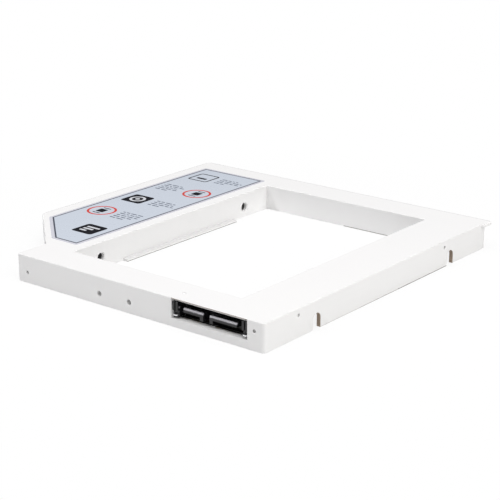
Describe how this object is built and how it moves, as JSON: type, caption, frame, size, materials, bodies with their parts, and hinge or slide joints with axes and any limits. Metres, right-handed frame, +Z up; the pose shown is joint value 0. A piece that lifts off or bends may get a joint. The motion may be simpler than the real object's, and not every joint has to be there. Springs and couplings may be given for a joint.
{
  "type": "laptop drive caddy",
  "caption": "Flat moulded frame that holds a 2.5 inch drive in a slim optical-drive bay, with an adapter board that joins the drive's connector to the bay's.",
  "frame": {"origin": "middle of the bounding box on the underside", "axes": "+Y from the connector face to the bezel end, +Z up through the label, +X to the right when looking along +Y"},
  "size_m": [0.1292, 0.1286, 0.0093],
  "materials": {
    "frame_plastic": "satin white moulding",
    "label_film": "printed film, pale blue-grey",
    "board": "green solder mask",
    "screw_steel": "zinc plated",
    "connector_plastic": "black, glass filled",
    "contact_gold": "gold plated",
    "tab_steel": "tin plated",
    "capacitor_ceramic": "bare ceramic with tinned ends",
    "resistor_ceramic": "dark glaze with tinned ends"
  },
  "bodies": {
    "root": {"frame": "frame_plastic", "label": "label_film", "adapter_board": "board", "board_screws": "screw_steel", "plug_housing": "connector_plastic", "plug_data_contacts": "contact_gold", "plug_ground_contacts": "contact_gold", "plug_power_contacts": "contact_gold", "plug_detect_contact": "contact_gold", "plug_hold_downs": "tab_steel", "receptacle_housing": "connector_plastic", "receptacle_data_contacts": "contact_gold", "receptacle_ground_contacts": "contact_gold", "receptacle_power_contacts": "contact_gold", "receptacle_hold_downs": "tab_steel", "coupling_capacitors": "capacitor_ceramic", "decoupling_capacitors": "capacitor_ceramic", "chip_resistors": "resistor_ceramic"}
  },
  "joints": []
}
